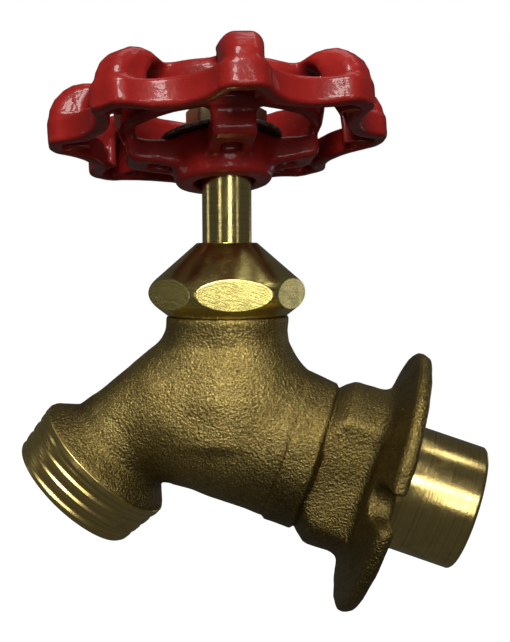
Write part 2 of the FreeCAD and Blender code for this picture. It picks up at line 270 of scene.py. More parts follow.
def station_piece(name, rings, o, ex, ey, ez, closed=False, sharp=None):
    """Skin through rings of points (M, N, 3), local x, y, z. closed joins the last ring to the first; else the ends are capped."""
    rings = np.asarray(rings, float)
    m, n = rings.shape[:2]
    v = rings.reshape(-1, 3)
    faces = []
    i = np.arange(n)
    j = (i + 1) % n
    for k in range(m if closed else m - 1):
        k2 = (k + 1) % m
        faces.append(np.stack([k * n + i, k * n + j, k2 * n + j, k2 * n + i], -1))
    faces = np.concatenate(faces).tolist()
    if not closed:
        c0, c1 = len(v), len(v) + 1
        v = np.concatenate([v, rings[0].mean(0)[None], rings[-1].mean(0)[None]])
        faces += [[c0, int(y), int(x)] for x, y in zip(i, j)]
        faces += [[c1, (m - 1) * n + int(x), (m - 1) * n + int(y)] for x, y in zip(i, j)]
    w = local(v, o, ex, ey, ez)
    ob = make_object(name, w, faces)
    # outward normals
    me = ob.data
    vol = 0.0
    co = np.array(w)
    tri = np.array([[f[0], f[1], f[2]] for f in faces] + [[f[0], f[2], f[3]] for f in faces if len(f) == 4])
    c = co.mean(0)
    vol = np.einsum("ij,ij->i", np.cross(co[tri[:, 0]] - c, co[tri[:, 1]] - c), co[tri[:, 2]] - c).sum()
    if vol < 0:
        me.flip_normals()
    return ob


def sharpen(ob, angle):
    """Marks edges over this angle sharp, so smooth shading keeps them crisp."""
    me = ob.data
    me.set_sharp_from_angle(angle=math.radians(angle))
    return ob


def lathe(name, prof, o, d, n=192, closed=False, angle=28, step=None):
    """Turned piece from (t, r) pairs along o + d*t."""
    side = unit(np.cross(d, EY)) if abs(d @ EY) < 0.9 else unit(np.cross(d, EX))
    other = np.cross(d, side)
    ph = np.arange(n) * 2 * math.pi / n
    rings = [np.stack([r * np.cos(ph), r * np.sin(ph), np.full(n, t)], -1) for t, r in prof]
    ob = station_piece(name, rings, o, side, other, d, closed)
    return sharpen(ob, angle)


def fillet(prof, r, n=4):
    """Rounds the inner corners of an open (t, r) profile."""
    p = [np.array(q, float) for q in prof]
    out = [p[0]]
    for i in range(1, len(p) - 1):
        u, v = p[i - 1] - p[i], p[i + 1] - p[i]
        lu, lv = np.linalg.norm(u), np.linalg.norm(v)
        k = min(r, lu * 0.45, lv * 0.45)
        s, e = p[i] + u / lu * k, p[i] + v / lv * k
        for j in range(n + 1):
            t = j / n
            out.append((1 - t) ** 2 * s + 2 * t * (1 - t) * p[i] + t * t * e)
    out.append(p[-1])
    return [tuple(q) for q in out]


# ------------------------------------------------------------------ body casting
HB = 0.32
barrel = turned([(-36, 12.75), (-19.9, 12.85), (-19.6, 12.75), (-19.3, 12.95), (-18.9, 13.3), (-14.3, 13.5), (-13.95, 13.25), (-13.65, 12.6), (-13.35, 12.1), (-13.1, 10.0)])
wrench = turned([(-13.6, 12.3), (-13.35, 13.1), (-12.5, 13.9), (-11.2, 14.85), (-10.4, 15.0), (-4.0, 15.0), (-1.0, 14.9)])
flange = turned([(-4.4, 12.0), (-4.3, 16.0), (-3.7, 18.4), (-3.1, 20.4), (-2.85, 22.0), (-2.65, 22.9), (-2.1, 23.5), (-1.3, 23.62), (-0.5, 23.35), (-0.05, 22.7), (0.0, 22.0), (0.0, 12.0)])
neck = turned([(-1, 12.6), (6.0, 12.7), (9.5, 12.1), (12.5, 11.2), (15.0, 10.55), (17.2, 10.65), (18.9, 10.85), (19.55, 10.84), (19.88, 10.55)])
mouth = turned([(5.2, 8.2), (7.5, 9.2), (9.2, 9.45), (10.3, 9.9), (11.3, 10.9), (12.3, 11.95), (13.2, 12.9), (13.6, 13.3), (13.9, 13.45), (14.1, 13.3)])


def body_field(p):
    x, y, z = p[:, 0], p[:, 1], p[:, 2]
    rx = np.sqrt(y * y + z * z)
    ts, rs = axial(p, S0, S)
    tg, rg = axial(p, G0, G)
    bar = smin(barrel(x, rx), np.sqrt((x + 36.0) ** 2 + rx * rx) - 12.75, 0.5)
    web = round_cone(p, np.array([-36.0, 0, 6.6]), np.array([-47.35, 0, -8.4]), 11.0, 9.5)
    nk = neck(ts, rs)
    f = smin(bar, web, 3.0)
    f = smin(f, nk, 2.6)
    f = smin(f, mouth(tg, rg), 1.3)
    # saddle that fills the fork between the neck and the collar
    f = smin(f, round_cone(p, np.array([-30.5, 0, 6.0]), np.array([-22.0, 0, 4.0]), 11.5, 9.4), 3.6)
    wr = smax(wrench(x, rx), np.abs(y) - 11.5 - 0.05 * np.sin(z * 0.6), 0.7)
    # rounded shoulder where the flat runs out into the flange
    f = smin(f, wr, 0.55)
    edge = 0.16 * np.sin(np.arctan2(z, y) * 5 + 0.6) + 0.12 * np.sin(np.arctan2(z, y) * 11 + 2.0) + 0.07 * np.sin(np.arctan2(z, y) * 23)
    rf = np.sqrt(y * y + (z + 0.4) ** 2)
    fl = flange(x + 0.035 * y * np.clip((rf - 14) / 6, 0, 1), rf - edge * np.clip((rf - 18) / 6, 0, 1))
    f = smin(f, fl, 2.6)
    # screw notches, open to the rim
    for side in (-1, 1):
        d = np.array([0, float(side), 0])
        m = np.cross(d, EX)
        u, v = p @ d, p @ m
        q = np.where(u > 19.1, np.abs(v), np.sqrt(np.maximum((u - 19.1) ** 2 + v * v, 0))) - 2.9
        q = smax(q, -6.5 - x, 0.4)
        f = smax(f, -q, 0.8)
    # water ways that can be seen from outside
    f = smax(f, -np.maximum(rg - 8.62, 5.5 - tg), 0.3)
    f = smax(f, -np.maximum(rx - 9.4, -1.6 - x), 0.2)
    f = smax(f, -np.maximum(rs - 9.6, 19.0 - ts), 0.2)
    f = smax(f, -np.maximum(rs - np.where(ts < 13.5, 7.25, 6.5), 7.0 - ts), 0.2)
    f = smax(f, -np.maximum(rs - 4.0, -ts), 0.2)
    f = smax(f, -np.maximum(rx - 5.5, -33.0 - x), 0.3)
    f = smax(f, -round_cone(p, np.array([-41.5, 0, 8.2]), np.array([-45.0, 0, -4.5]), 4.2, 4.2), 0.3)
    f = f + 0.060 * waves(p, 3, 7.0) * np.clip((18.6 - ts) / 2, 0, 1) + 0.012 * waves(p, 5, 2.4)
    return f


bv, bf = surface_nets(body_field, (-62, -25.5, -26.5), (1.0, 25.5, 25.5), HB)
bv = relax(bv, bf, 1, 0.6)
casting = make_object("body_casting", bv, bf)
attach(casting, "valve_body")
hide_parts("body")

# sweat tail with its cup, machined
tail_prof = fillet([(-1.2, 9.2), (-1.2, 11.11), (14.0, 11.11), (14.45, 10.7), (14.5, 8.35), (14.2, 7.985), (2.4, 7.985), (2.4, 5.6), (-1.6, 5.6), (-1.6, 9.2)][:10], 0.18, 3)
tail = lathe("sweat_tail", tail_prof, np.zeros(3), EX, 224, closed=True)
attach(tail, "valve_body")
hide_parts("body")

# spigot inside the packing nut, bored for the packing
spigot = lathe("neck_spigot", [(18.8, 9.4), (28.1, 9.4), (28.4, 9.1), (28.4, 7.45), (24.0, 7.45), (24.0, 6.5), (18.8, 6.5)], S0, S, 128, closed=True)
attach(spigot, "valve_body")
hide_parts("body")

# hose thread: a true helix on the spout
HN = 256
pitch, r_maj, r_min = 2.209, 13.49, 13.20
s0, s1 = 13.8, 22.8
ph = np.arange(HN) * 2 * math.pi / HN
ss = np.arange(s0, s1 + 1e-6, 0.07)
rings = [np.stack([9.2 * np.cos(ph), 9.2 * np.sin(ph), np.full(HN, s0)], -1)]
for t in ss:
    u = ((t - s0) / pitch - ph / (2 * math.pi)) % 1.0
    tri = 1 - np.abs(u - 0.5) * 2                       # 0 at the root, 1 at the crest
    prof = np.clip((tri - 0.06) / 0.62, 0, 1)
    prof = prof * prof * (3 - 2 * prof)
    fade = np.clip((t - s0 - 1.15 - 0.30 * (ph / math.pi)) / 0.7, 0, 1)
    depth = (r_maj - r_min) * (1 - prof) * fade
    land = 13.66 - 0.23 * min(1.0, max(0.0, (t - s0 - 0.9) / 0.8))
    r = land - depth
    r = r - 0.25 * max(0.0, 1 - (t - s0) / 0.25)
    r = r - 0.13 * max(0.0, t - 16.0)
    r = np.minimum(r, r_maj + 0.1 - np.maximum(t - (s1 - 2.2), 0) * 0.62)
    r = np.where(t > s1 - 0.3, np.minimum(r, 11.95 - (t - s1 + 0.3) * 0.8), r)
    rings.append(np.stack([r * np.cos(ph), r * np.sin(ph), np.full(HN, t)], -1))
for t, r in [(s1, 11.2), (s1, 10.2), (s1, 9.1), (s1 - 0.12, 8.85), (s1 - 0.4, 8.6), (19.0, 8.55), (s0, 8.5)]:
    rings.append(np.stack([r * np.cos(ph), r * np.sin(ph), np.full(HN, t)], -1))
thread = station_piece("hose_thread", rings, G0, GR, np.cross(G, GR), G, closed=True)
sharpen(thread, 50)
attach(thread, "valve_body")
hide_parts("body")

# inside wall of the spout, so that the mouth reads as a bored passage
throat = lathe("spout_bore", [(5.2, 8.45), (s0 + 0.2, 8.45), (s0 + 0.2, 8.75), (5.0, 8.75), (5.0, 4.6), (5.2, 4.6)], G0, G, 128, closed=True)
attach(throat, "valve_body")
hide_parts("body")


# ------------------------------------------------------------------ packing nut: hexagon and turned cone together
def hex_radius(phi, af, k0):
    v = np.stack([np.cos(phi - k0 - i * math.pi / 3) for i in range(6)], 0)
    return (af / 2) / v.max(0)


def soft_min(p, q, k):
    h = np.clip(0.5 + 0.5 * (q - p) / k, 0, 1)
    return q + (p - q) * h - k * h * (1 - h)


def packing_nut():
    t0, t1 = 20.0, 32.7
    n = 720
    phi = np.arange(n) * 2 * math.pi / n
    turn = math.radians(11.4)
    ex = -EY * math.cos(turn) + SR * math.sin(turn)
    ey = np.cross(S, ex)
    rh = hex_radius(phi, 24.6, 0.0)
    cone = math.tan(math.radians(41.0))
    drop = (13.95 - 5.3) * cone
    low = math.tan(math.radians(38.0))
    ts = np.arange(t0, t1 + 1e-6, 0.055)
    rings = [np.stack([9.5 * np.cos(phi), 9.5 * np.sin(phi), np.full(n, t0 + 0.0)], -1),
             np.stack([10.5 * np.cos(phi), 10.5 * np.sin(phi), np.full(n, t0 + 0.0)], -1)]
    for t in ts:
        prof = min(float(soft_min(10.72 + (t - t0) / low, 5.3 + (t1 - t) / cone, 6.5)), 13.95)
        r = soft_min(np.full(n, prof), rh, 0.10)
        if t > t1 - 0.25:
            r = np.minimum(r, 5.3 + (t1 - t) / cone - 0.0)
        rings.append(np.stack([r * np.cos(phi), r * np.sin(phi), np.full(n, t)], -1))
    for t, r in [(t1 + 0.0, 5.05), (t1, 4.75), (t1 - 0.15, 4.52), (t1 - 2.4, 4.5), (t1 - 2.5, 7.5), (29.0, 7.6), (28.9, 9.46), (20.6, 9.46)]:
        rings.append(np.stack([r * np.cos(phi), r * np.sin(phi), np.full(n, t)], -1))
    return station_piece("packing_nut_hex", rings, S0, ex, ey, S, closed=True)


nut = packing_nut()
sharpen(nut, 40)
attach(nut, "valve_body")
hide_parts("packing_nut")


# ------------------------------------------------------------------ stem: threaded foot, turned shank, square and threaded tip
def stem_piece():
    n = 192
    phi = np.arange(n) * 2 * math.pi / n
    c45 = (phi + math.pi / 4) % (math.pi / 2) - math.pi / 4
    sq = np.minimum(6.7 / 2 / np.cos(c45), 4.35)
    rings = []

    def ring(t, r):
        r = np.broadcast_to(r, (n,))
        rings.append(np.stack([r * np.cos(phi), r * np.sin(phi), np.full(n, t)], -1))

    ring(9.8, 5.2)
    ring(10.1, 5.5)
    ring(11.3, 5.5)
    for t in np.arange(11.45, 17.45, 0.11):
        u = ((t / 2.0) - phi / (2 * math.pi)) % 1.0
        tri = np.clip((1 - np.abs(u - 0.5) * 2 - 0.15) / 0.6, 0, 1)
        ring(t, 5.4 + 1.0 * tri * min(1, (t - 11.4) / 0.5, (17.5 - t) / 0.5))
    ring(17.5, 4.6)
    ring(17.9, 4.35)
    for t in np.arange(18.5, 46.0, 1.1):
        ring(t, 4.35)
    ring(46.0, 4.35)
    ring(46.2, sq)
    ring(50.9, sq)
    ring(51.2, 3.3)
    for t in np.arange(51.3, 56.8, 0.09):
        u = ((t / 1.27) - phi / (2 * math.pi)) % 1.0
        tri = np.clip((1 - np.abs(u - 0.5) * 2 - 0.12) / 0.7, 0, 1)
        ring(t, 2.62 + 0.55 * tri * min(1, (t - 51.2) / 0.4, max(0.0, (56.9 - t) / 0.5)))
    ring(57.1, 2.5)
    ring(57.3, 2.1)
    return station_piece("stem_spindle", rings, S0, SR, np.cross(S, SR), S)


stem = stem_piece()
sharpen(stem, 45)
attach(stem, "stem_and_wheel")
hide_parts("stem")

# ------------------------------------------------------------------ handwheel
HW = 0.26
lobe_out = Profile([(16.8, 8.3), (16.8, 9.6), (18.6, 9.95), (20.2, 10.45), (21.8, 10.9), (23.6, 11.05), (25.4, 10.8), (27.0, 9.95), (28.65, 8.4), (29.5, 6.7), (29.8, 4.9), (29.82, 3.0), (29.7, 0.9), (22.6, 0.9), (22.55, 6.3), (21.7, 7.9), (20.4, 8.5)])
lobe_in = Profile([(19.0, -6.0), (19.0, 6.4), (21.0, 8.0), (23.2, 8.75), (25.0, 8.3), (26.6, 6.7), (27.4, 4.5), (27.6, 2.0), (27.6, -6.0)])
slot = Profile([(18.6, -8.0), (18.55, 6.4), (19.0, 7.9), (20.2, 8.55), (21.4, 8.2), (22.3, 6.9), (22.5, 5.2), (22.5, -8.0)])
ring_in = Profile([(15.75, 2.6), (15.45, 6.0), (15.4, 8.6), (15.75, 9.55), (16.6, 9.9), (17.6, 9.85), (18.4, 9.3), (18.7, 8.2), (18.5, 5.4), (18.0, 3.1), (17.3, 2.1), (16.5, 1.9)])
hubp = turned([(-6.6, 7.6), (-6.45, 8.1), (-5.9, 8.5), (-4.8, 8.7), (-2.6, 8.5), (0.2, 8.35), (1.0, 8.3), (1.3, 8.0), (1.38, 7.4)])
spoke = Profile([(6.0, -4.0), (6.0, 0.8), (13.2, 0.8), (14.6, 1.1), (15.6, 2.6), (16.4, 3.4), (16.8, 2.6), (16.75, -1.6), (16.3, -2.5), (15.2, -2.95), (12.0, -3.4), (8.8, -3.95)])
pocket = Profile([(8.3, -9.0), (8.7, -2.7), (9.6, -1.9), (11.2, -1.7), (12.6, -2.2), (13.4, -3.3), (13.6, -9.0)])
SCALLOP = 10.4                                         # radius of the hollows between the lobes, in plan
SC_R = (24.85 + SCALLOP) * math.cos(math.pi / 8)
SC_T = (24.85 + SCALLOP) * math.sin(math.pi / 8)


def rmax(p, q, r):
    """Intersection with its edge rounded to the radius r."""
    u, v = np.maximum(p + r, 0.0), np.maximum(q + r, 0.0)
    return np.where((u > 0) & (v > 0), np.sqrt(u * u + v * v) - r, np.maximum(p, q))


def wheel_field(p):
    x, y, z = p[:, 0], p[:, 1], p[:, 2]
    r = np.sqrt(x * x + y * y)
    th = np.arctan2(y, x)
    k = np.round(th / (math.pi / 4))
    tl = th - k * math.pi / 4
    lr, lt = r * np.cos(tl), np.abs(r * np.sin(tl))
    lk = np.abs(r * np.sin(tl) - 0.08 * np.clip(z - 3.0, 0, 8))
    # plan outline: lobes out to 30 mm, round hollows between them
    out = rmax(r - 29.78, SCALLOP - np.sqrt((lr - SC_R) ** 2 + (lt - SC_T) ** 2), 1.3)
    lip = 0.5 * np.clip((r - 24.0) / 6.0, 0, 1)
    rim = rmax(out, np.abs(z - 2.4 - lip / 2) - 2.4 + lip / 2, 0.8)
    rim = rmax(rim, -(out + 2.35), 0.7)
    w = 3.10 + 0.13 * np.clip(30.0 - lr, 0, 8) - 0.05 * np.clip(z - 3.0, 0, 8)
    lobe = rmax(lobe_out(lr, z), lk - w, 2.1)
    f = smin(rim, lobe, 1.0)
    # hollow of each lobe, and the round slot between ring and rim that runs on under the lobes
    hol = rmax(lobe_in(lr, z), lk - (w - 1.85), 0.9)
    f = smax(f, -hol, 0.6)
    f = smax(f, -slot(r, z), 0.8)
    f = smin(f, ring_in(r, z), 1.3)
    # hub and spokes
    ks = np.round(th / (math.pi / 2))
    ts = th - ks * math.pi / 2
    sr, st = r * np.cos(ts), r * np.sin(ts)
    sp = rmax(spoke(sr, z), np.abs(st) - 3.75, 0.9)
    sp = smax(sp, -rmax(pocket(sr, z), np.abs(st) - 1.75, 1.2), 0.6)
    h = hubp(z, r)
    f2 = smin(h, sp, 1.5)
    f = smin(f, f2, 1.5)
    # the hub's counterbore round the stem, and the stem's own hole
    f = smax(f, -np.maximum(r - 5.5, z + 2.7), 0.4)
    q = W0 + x[:, None] * L0 + y[:, None] * L1 + z[:, None] * W
    t, rs = axial(q, S0, S)
    f = np.maximum(f, -(rs - 4.42))
    f = f + 0.055 * waves(p, 11, 6.5) * np.clip((r - 9) / 3, 0.3, 1) + 0.010 * waves(p, 13, 2.4)
    return f


wv, wf = surface_nets(wheel_field, (-31.6, -31.6, -7.8), (31.6, 31.6, 12.6), HW)
wv = relax(wv, wf, 1, 0.6)
wheel = make_object("handwheel_casting", local(wv, W0, L0, L1, W), wf)
if np.linalg.det(np.stack([L0, L1, W])) < 0:
    wheel.data.flip_normals()
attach(wheel, "stem_and_wheel")
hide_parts("handwheel")

# ------------------------------------------------------------------ ID disc, a thin dished blank
def disc_piece():
    n = 160
    phi = np.arange(n) * 2 * math.pi / n
    prof = [(0.02, 4.44), (0.0, 7.5), (-0.06, 9.3), (-0.22, 10.55), (-0.12, 10.78), (0.1, 10.82), (0.34, 10.7), (0.55, 10.3), (0.72, 9.2), (0.78, 7.5), (0.8, 4.44)]
    rings = []
    for t, r in prof:
        wav = 0.10 * np.sin(2 * phi + 0.8) * (r / 10.8) ** 2
        rings.append(np.stack([r * np.cos(phi), r * np.sin(phi), 1.46 + t + wav], -1))
    rings = np.array(rings)
    # the hole follows the stem, which is not square to the disc
    for k in (0, len(prof) - 1):
        q = local(rings[k], W0, L0, L1, W)
        rel = q - S0
        t = rel @ S
        rad = rel - t[:, None] * S
        ln = np.linalg.norm(rad, axis=1)
        q = S0 + t[:, None] * S + rad / ln[:, None] * 4.46
        d = q - W0
        rings[k] = np.stack([d @ L0, d @ L1, rings[k][:, 2]], -1)
    return station_piece("id_disc_blank", rings, W0, L0, L1, W, closed=True)


disc = disc_piece()
sharpen(disc, 50)
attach(disc, "stem_and_wheel")
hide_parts("id_disc")


# ------------------------------------------------------------------ handle nut
def handle_nut():
    n = 360
    phi = np.arange(n) * 2 * math.pi / n
    turn = math.radians(-3.5)
    ex = -EY * math.cos(turn) + SR * math.sin(turn)
    ey = np.cross(S, ex)
    rh = hex_radius(phi, 12.7, 0.0)
    top = 56.0
    rings = []

    def bottom(r):
        # height along the stem where the disc's top face lies
        base = S0[None] + (r * np.cos(phi))[:, None] * ex + (r * np.sin(phi))[:, None] * ey
        return ((W0 - base) @ W + 2.26) / (S @ W)

    r = soft_min(np.full(n, 7.18), rh, 0.12)
    b0 = bottom(r)
    rings.append(np.stack([r * np.cos(phi), r * np.sin(phi), b0], -1))
    for u in (0.15, 0.5, 0.8):
        rings.append(np.stack([r * np.cos(phi), r * np.sin(phi), b0 + (top - 0.9 - b0) * u], -1))
    for t in np.arange(top - 0.9, top + 1e-6, 0.075):
        rr = soft_min(np.full(n, 6.3 + (top - t) / math.tan(math.radians(30))), r, 0.12)
        rings.append(np.stack([rr * np.cos(phi), rr * np.sin(phi), np.full(n, t)], -1))
    for t, q in [(top, 5.6), (top, 4.0), (top - 0.1, 3.45), (top - 0.45, 3.22)]:
        rings.append(np.stack([q * np.cos(phi), q * np.sin(phi), np.full(n, t)], -1))
    q = np.full(n, 3.22)
    rings.append(np.stack([q * np.cos(phi), q * np.sin(phi), bottom(q) + 0.4], -1))
    q = np.full(n, 3.5)
    rings.append(np.stack([q * np.cos(phi), q * np.sin(phi), bottom(q)], -1))
    return station_piece("handle_nut_hex", rings, S0, ex, ey, S, closed=True)


hnut = handle_nut()
sharpen(hnut, 40)
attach(hnut, "stem_and_wheel")
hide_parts("handle_nut")


# ------------------------------------------------------------------ materials
def new_mat(name):
    m = bpy.data.materials.new(name)
    m.use_nodes = True
    nt = m.node_tree
    nt.nodes.clear()
    return m, nt


class Net:
    def __init__(self, name):
        self.m, self.nt = new_mat(name)
        self.out = self.node("ShaderNodeOutputMaterial")
        self.bsdf = self.node("ShaderNodeBsdfPrincipled")
        self.link(self.bsdf, "BSDF", self.out, "Surface")
        tc = self.node("ShaderNodeTexCoord")
        self.pos = self.node("ShaderNodeVectorMath", operation="SCALE")      # millimetres
        self.link(tc, "Object", self.pos, 0)
        self.pos.inputs["Scale"].default_value = 1000.0

    def node(self, kind, **props):
        n = self.nt.nodes.new(kind)
        for k, v in props.items():
            setattr(n, k, v)
        return n

    def link(self, a, ao, b, bi):
        self.nt.links.new(a.outputs[ao], b.inputs[bi])

    def noise(self, scale, detail=4.0, rough=0.55, distortion=0.0, vec=None, dims="3D"):
        n = self.node("ShaderNodeTexNoise", noise_dimensions=dims)
        n.inputs["Scale"].default_value = scale
        n.inputs["Detail"].default_value = detail
        n.inputs["Roughness"].default_value = rough
        n.inputs["Distortion"].default_value = distortion
        if dims == "1D":
            self.nt.links.new(vec, n.inputs["W"])
        else:
            self.nt.links.new(vec if vec is not None else self.pos.outputs[0], n.inputs["Vector"])
        return n.outputs["Fac"]

    def cells(self, scale, vec=None, feature="F1", rand=1.0):
        n = self.node("ShaderNodeTexVoronoi", feature=feature)
        n.inputs["Scale"].default_value = scale
        n.inputs["Randomness"].default_value = rand
        self.nt.links.new(vec if vec is not None else self.pos.outputs[0], n.inputs["Vector"])
        return n.outputs["Distance"]

    def ramp(self, fac, stops, interp="LINEAR"):
        n = self.node("ShaderNodeValToRGB")
        n.color_ramp.interpolation = interp
        e = n.color_ramp.elements
        e[0].position, e[0].color = stops[0][0], tuple(stops[0][1]) + (1,)
        e[1].position, e[1].color = stops[-1][0], tuple(stops[-1][1]) + (1,)
        for p, c in stops[1:-1]:
            x = e.new(p)
            x.color = tuple(c) + (1,)
        self.nt.links.new(fac, n.inputs[0])
        return n.outputs[0]

    def levels(self, fac, a0, a1, b0, b1, clamp=True):
        n = self.node("ShaderNodeMapRange", clamp=clamp)
        for i, v in zip(("From Min", "From Max", "To Min", "To Max"), (a0, a1, b0, b1)):
            n.inputs[i].default_value = v
        self.nt.links.new(fac, n.inputs["Value"])
        return n.outputs[0]

    def math(self, op, a, b=None):
        n = self.node("ShaderNodeMath", operation=op)
        for i, v in enumerate((a, b)):
            if v is None:
                continue
            if isinstance(v, (int, float)):
                n.inputs[i].default_value = v
            else:
                self.nt.links.new(v, n.inputs[i])
        return n.outputs[0]

    def mix(self, fac, a, b, blend="MIX"):
        n = self.node("ShaderNodeMix", data_type="RGBA", blend_type=blend)
        for sock, v in ((n.inputs[0], fac), (n.inputs[6], a), (n.inputs[7], b)):
            if isinstance(v, (tuple, list)):
                sock.default_value = tuple(v) + (1,)
            elif isinstance(v, (int, float)):
                sock.default_value = v
            else:
                self.nt.links.new(v, sock)
        return n.outputs[2]

    def bump(self, height, dist, strength=1.0, below=None):
        n = self.node("ShaderNodeBump")
        n.inputs["Distance"].default_value = dist
        n.inputs["Strength"].default_value = strength
        self.nt.links.new(height, n.inputs["Height"])
        if below is not None:
            self.nt.links.new(below, n.inputs["Normal"])
        return n.outputs[0]

    def axis(self, origin, d):
        """(distance along the axis, radius, offset vector from the origin) in mm."""
        sub = self.node("ShaderNodeVectorMath", operation="SUBTRACT")
        self.nt.links.new(self.pos.outputs[0], sub.inputs[0])
        sub.inputs[1].default_value = tuple(origin)
        dot = self.node("ShaderNodeVectorMath", operation="DOT_PRODUCT")
        self.nt.links.new(sub.outputs[0], dot.inputs[0])
        dot.inputs[1].default_value = tuple(d)
        ln = self.node("ShaderNodeVectorMath", operation="CROSS_PRODUCT")
        self.nt.links.new(sub.outputs[0], ln.inputs[0])
        ln.inputs[1].default_value = tuple(d)
        rad = self.node("ShaderNodeVectorMath", operation="LENGTH")
        self.nt.links.new(ln.outputs[0], rad.inputs[0])
        return dot.outputs["Value"], rad.outputs["Value"], sub.outputs[0]

    def put(self, **sockets):
        names = {"color": "Base Color", "rough": "Roughness", "metal": "Metallic", "normal": "Normal", "spec": "Specular IOR Level",
                 "coat": "Coat Weight", "coat_rough": "Coat Roughness", "coat_normal": "Coat Normal", "aniso": "Anisotropic"}
        for k, v in sockets.items():
            s = self.bsdf.inputs[names[k]]
            if isinstance(v, (int, float)):
                s.default_value = v
            elif isinstance(v, (tuple, list)):
                s.default_value = tuple(v) + (1,)
            else:
                self.nt.links.new(v, s)
        return self.m


def cast_brass():
    n = Net("cast_brass_sand")
    warp = n.noise(1.3, 2.0, 0.5)
    grain = n.noise(3.3, 4.0, 0.62)
    fine = n.noise(8.0, 2.0, 0.6)
    pebble = n.cells(2.2)
    patch = n.noise(0.10, 3.0, 0.5, 0.6)
    geo = n.node("ShaderNodeNewGeometry")
    # painted shade and painted highlight: the colour is darkened in creases and hollows and lightened on sharp ridges,
    # driven by pointiness
    painted_shade_and_highlight_mask = n.levels(geo.outputs["Pointiness"], 0.44, 0.57, 0.0, 1.0)
    base = n.ramp(grain, [(0.30, (0.150, 0.106, 0.032)), (0.45, (0.300, 0.222, 0.070)), (0.57, (0.430, 0.322, 0.104)), (0.70, (0.660, 0.510, 0.190))])
    cool = n.ramp(patch, [(0.32, (0.78, 0.77, 0.76)), (0.52, (1.0, 1.0, 1.0)), (0.70, (1.10, 1.06, 0.98))])
    col = n.mix(1.0, base, cool, "MULTIPLY")
    edge = n.ramp(painted_shade_and_highlight_mask, [(0.0, (0.60, 0.56, 0.50)), (0.5, (1.0, 1.0, 1.0)), (1.0, (1.30, 1.25, 1.12))])
    col = n.mix(1.0, col, edge, "MULTIPLY")
    # painted shade: darker towards the wall end and towards the spout end, a falloff of the light away from the middle
    # of the body painted into the colour
    wall_t = n.axis(np.zeros(3), EX)[0]
    spout_t = n.axis(G0, G)[0]
    painted_falloff_shade = n.math("MULTIPLY", n.levels(wall_t, -28.0, -18.5, 1.0, 0.56), n.levels(spout_t, 3.5, 11.0, 1.0, 0.56))
    painted_falloff_tint = n.ramp(painted_falloff_shade, [(0.30, (0.30, 0.30, 0.30)), (1.0, (1.0, 1.0, 1.0))])
    col = n.mix(1.0, col, painted_falloff_tint, "MULTIPLY")
    h = n.math("ADD", n.math("MULTIPLY", grain, 0.75), n.math("MULTIPLY", pebble, 0.50))
    h = n.math("ADD", h, n.math("MULTIPLY", warp, 0.35))
    nb = n.bump(h, 0.00026, 0.9)
    nb = n.bump(fine, 0.00008, 0.6, nb)
    return n.put(color=col, metal=1.0, rough=n.levels(grain, 0.3, 0.7, 0.46, 0.30), normal=nb)


def machined(name, origin, d, tone=(1.0, 1.0, 1.0), rough=0.19, lines=2.6, depth=0.00003, dirt=0.25, scratch=False, low=0.0, face=None):
    """Turned brass: fine rings square to the axis, slight tarnish, a few nicks."""
    n = Net(name)
    t, r, v = n.axis(origin, d)
    along = n.math("ADD", t, n.math("MULTIPLY", r, 0.83))
    ring = n.noise(lines, 3.0, 0.75, vec=along, dims="1D")
    ring2 = n.noise(lines * 0.23, 2.0, 0.5, vec=along, dims="1D")
    tarn = n.noise(0.33, 4.0, 0.6, 0.8)
    spots = n.noise(1.9, 3.0, 0.6)
    base = n.ramp(tarn, [(0.28, [c * 0.80 for c in tone]), (0.50, [c for c in tone]), (0.72, [min(1.0, c * 1.10) for c in tone])])
    shade = n.ramp(ring, [(0.32, (0.80, 0.78, 0.74)), (0.5, (1.0, 1.0, 1.0)), (0.68, (1.08, 1.07, 1.04))])
    col = n.mix(1.0, base, shade, "MULTIPLY")
    grime = n.levels(spots, 0.62, 0.78, 0.0, dirt * 0.5)
    col = n.mix(grime, col, (0.20, 0.125, 0.045))
    h = n.math("ADD", n.math("MULTIPLY", ring, 0.7), n.math("MULTIPLY", ring2, 0.6))
    nb = n.bump(h, depth, 0.8)
    if scratch:
        # straight file and mill marks across the flats
        sx = n.node("ShaderNodeMapping")
        sx.inputs["Rotation"].default_value = (0.2, math.radians(24), 0.1)
        sx.inputs["Scale"].default_value = (0.35, 0.35, 6.5)
        n.nt.links.new(n.pos.outputs[0], sx.inputs["Vector"])
        sc = n.noise(1.0, 4.0, 0.65, vec=sx.outputs[0])
        nb = n.bump(sc, 0.00005, 0.55, nb)
        sc2 = n.levels(sc, 0.60, 0.70, 0.0, 0.35)
        col = n.mix(sc2, col, (0.42, 0.30, 0.11))
    nb = n.bump(spots, 0.00003, 0.5, nb)
    return n.put(color=col, metal=1.0, rough=n.levels(tarn, 0.3, 0.7, rough + 0.09, rough - 0.04), normal=nb)


